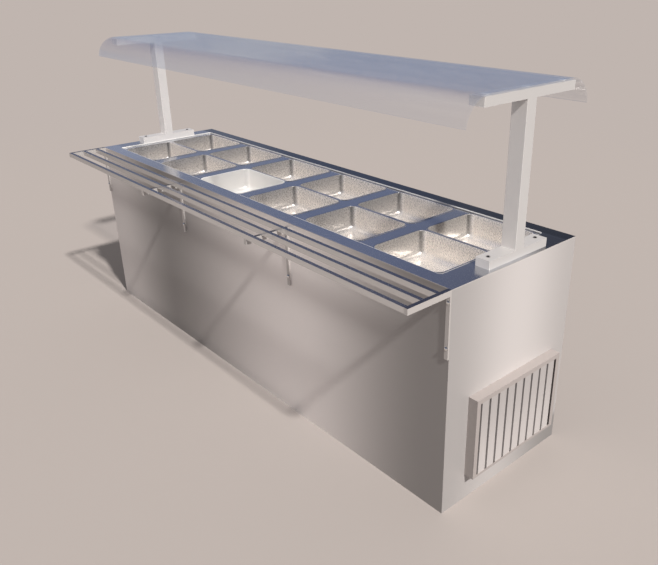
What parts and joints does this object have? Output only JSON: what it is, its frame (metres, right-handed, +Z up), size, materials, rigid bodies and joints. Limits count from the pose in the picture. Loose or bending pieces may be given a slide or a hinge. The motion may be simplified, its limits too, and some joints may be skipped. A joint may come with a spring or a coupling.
{
  "type": "self-service buffet counter",
  "caption": "Free-standing buffet counter with a sunken well of lift-out food pans under a clear curved canopy on two posts, a tray slide and a louvred cooling unit.",
  "frame": {"origin": "middle of the cabinet's underside, on the floor; the tray slide and the grille reach past the cabinet", "axes": "+X along the counter towards the grille end, -Y towards the customers and the tray slide, +Z up"},
  "size_m": [2.498, 0.8633, 1.401],
  "materials": {
    "panel_paint": "satin",
    "galvanised": "matte",
    "worktop_steel": "satin",
    "foam": "matte",
    "copper": "satin",
    "brass": "satin",
    "lever_red": "satin",
    "gantry_paint": "satin",
    "screw_dark": "satin",
    "canopy_clear": "polished",
    "pad_clear": "satin",
    "rail_steel": "satin",
    "bracket_steel": "satin",
    "bright_bolt": "polished",
    "slat_paint": "satin",
    "black_paint": "satin",
    "fin_aluminium": "satin",
    "motor_paint": "satin",
    "fan_aluminium": "satin",
    "lock_metal": "satin",
    "black_plastic": "matte",
    "switch_plastic": "gloss",
    "pan_steel": "satin",
    "pan_white": "satin"
  },
  "bodies": {
    "cabinet": {"plinth": "panel_paint", "floor_pan": "galvanised", "frame_posts": "galvanised", "top_frame": "galvanised", "front_panel": "panel_paint", "left_end_panel": "panel_paint", "right_end_panel": "panel_paint", "rear_panel": "panel_paint", "worktop": "worktop_steel", "well_tank": "worktop_steel", "tank_foam": "foam", "cooling_coil": "copper", "drain_pipe": "galvanised", "drain_valve": "brass", "gantry_base_left": "gantry_paint", "gantry_base_right": "gantry_paint", "gantry_post_left": "gantry_paint", "gantry_post_right": "gantry_paint", "gantry_screws": "screw_dark", "canopy": "canopy_clear", "canopy_pads": "pad_clear", "tray_rail_front": "rail_steel", "tray_rail_middle": "rail_steel", "tray_rail_back": "rail_steel", "bracket_1": "bracket_steel", "bracket_2": "bracket_steel", "bracket_3": "bracket_steel", "bracket_4": "bracket_steel", "bracket_bolts": "bright_bolt", "grille_frame": "panel_paint", "grille_slats": "slat_paint", "grille_screws": "bright_bolt", "unit_base": "galvanised", "compressor": "black_paint", "condenser": "fin_aluminium", "fan_shroud": "black_paint", "fan_motor": "motor_paint", "refrigerant_pipes": "copper", "door_hinges": "bright_bolt", "control_panel": "black_plastic", "control_box": "galvanised", "cable_gland": "black_plastic"},
    "drain_lever": {"valve_lever": "lever_red"},
    "fan": {"condenser_fan": "fan_aluminium"},
    "door": {"service_door": "panel_paint"},
    "lock": {"door_lock": "lock_metal"},
    "switch": {"power_switch": "switch_plastic"},
    "knob": {"thermostat_knob": "black_plastic"},
    "food_pan_1": {"pan_1": "pan_steel"},
    "food_pan_2": {"pan_2": "pan_steel"},
    "food_pan_3": {"pan_3": "pan_steel"},
    "food_pan_4": {"pan_4": "pan_steel"},
    "food_pan_5": {"pan_5": "pan_white"},
    "food_pan_6": {"pan_6": "pan_steel"},
    "food_pan_7": {"pan_7": "pan_steel"},
    "food_pan_8": {"pan_8": "pan_steel"},
    "food_pan_9": {"pan_9": "pan_steel"},
    "food_pan_10": {"pan_10": "pan_steel"},
    "food_pan_11": {"pan_11": "pan_steel"},
    "food_pan_12": {"pan_12": "pan_steel"}
  },
  "joints": [
    {"name": "drain_lever_turn", "type": "hinge", "parent": "cabinet", "child": "drain_lever", "pos_m": [0.64, 0.03305, 0.5314], "axis": [0, 1, 0], "range_deg": [0, 90]},
    {"name": "fan_spin", "type": "hinge", "parent": "cabinet", "child": "fan", "pos_m": [1.1345, 0.0165, 0.2585], "axis": [1, 0, 0], "continuous": true},
    {"name": "door_swing", "type": "hinge", "parent": "cabinet", "child": "door", "pos_m": [1.171, 0.3338, 0.347], "axis": [0, 0, -1], "range_deg": [0, 110]},
    {"name": "lock_turn", "type": "hinge", "parent": "door", "child": "lock", "pos_m": [0.644, 0.3275, 0.347], "axis": [0, -1, 0], "range_deg": [0, 90]},
    {"name": "switch_rock", "type": "hinge", "parent": "cabinet", "child": "switch", "pos_m": [0.505, 0.3285, 0.414], "axis": [-1, 0, 0], "range_deg": [0, 20]},
    {"name": "knob_turn", "type": "hinge", "parent": "cabinet", "child": "knob", "pos_m": [0.505, 0.3298, 0.482], "axis": [0, -1, 0], "range_deg": [0, 270]},
    {"name": "pan_1_lift", "type": "slide", "parent": "cabinet", "child": "food_pan_1", "axis": [0, 0, 1], "range_m": [0, 0.16]},
    {"name": "pan_2_lift", "type": "slide", "parent": "cabinet", "child": "food_pan_2", "axis": [0, 0, 1], "range_m": [0, 0.16]},
    {"name": "pan_3_lift", "type": "slide", "parent": "cabinet", "child": "food_pan_3", "axis": [0, 0, 1], "range_m": [0, 0.16]},
    {"name": "pan_4_lift", "type": "slide", "parent": "cabinet", "child": "food_pan_4", "axis": [0, 0, 1], "range_m": [0, 0.16]},
    {"name": "pan_5_lift", "type": "slide", "parent": "cabinet", "child": "food_pan_5", "axis": [0, 0, 1], "range_m": [0, 0.16]},
    {"name": "pan_6_lift", "type": "slide", "parent": "cabinet", "child": "food_pan_6", "axis": [0, 0, 1], "range_m": [0, 0.16]},
    {"name": "pan_7_lift", "type": "slide", "parent": "cabinet", "child": "food_pan_7", "axis": [0, 0, 1], "range_m": [0, 0.16]},
    {"name": "pan_8_lift", "type": "slide", "parent": "cabinet", "child": "food_pan_8", "axis": [0, 0, 1], "range_m": [0, 0.16]},
    {"name": "pan_9_lift", "type": "slide", "parent": "cabinet", "child": "food_pan_9", "axis": [0, 0, 1], "range_m": [0, 0.16]},
    {"name": "pan_10_lift", "type": "slide", "parent": "cabinet", "child": "food_pan_10", "axis": [0, 0, 1], "range_m": [0, 0.16]},
    {"name": "pan_11_lift", "type": "slide", "parent": "cabinet", "child": "food_pan_11", "axis": [0, 0, 1], "range_m": [0, 0.16]},
    {"name": "pan_12_lift", "type": "slide", "parent": "cabinet", "child": "food_pan_12", "axis": [0, 0, 1], "range_m": [0, 0.16]}
  ]
}
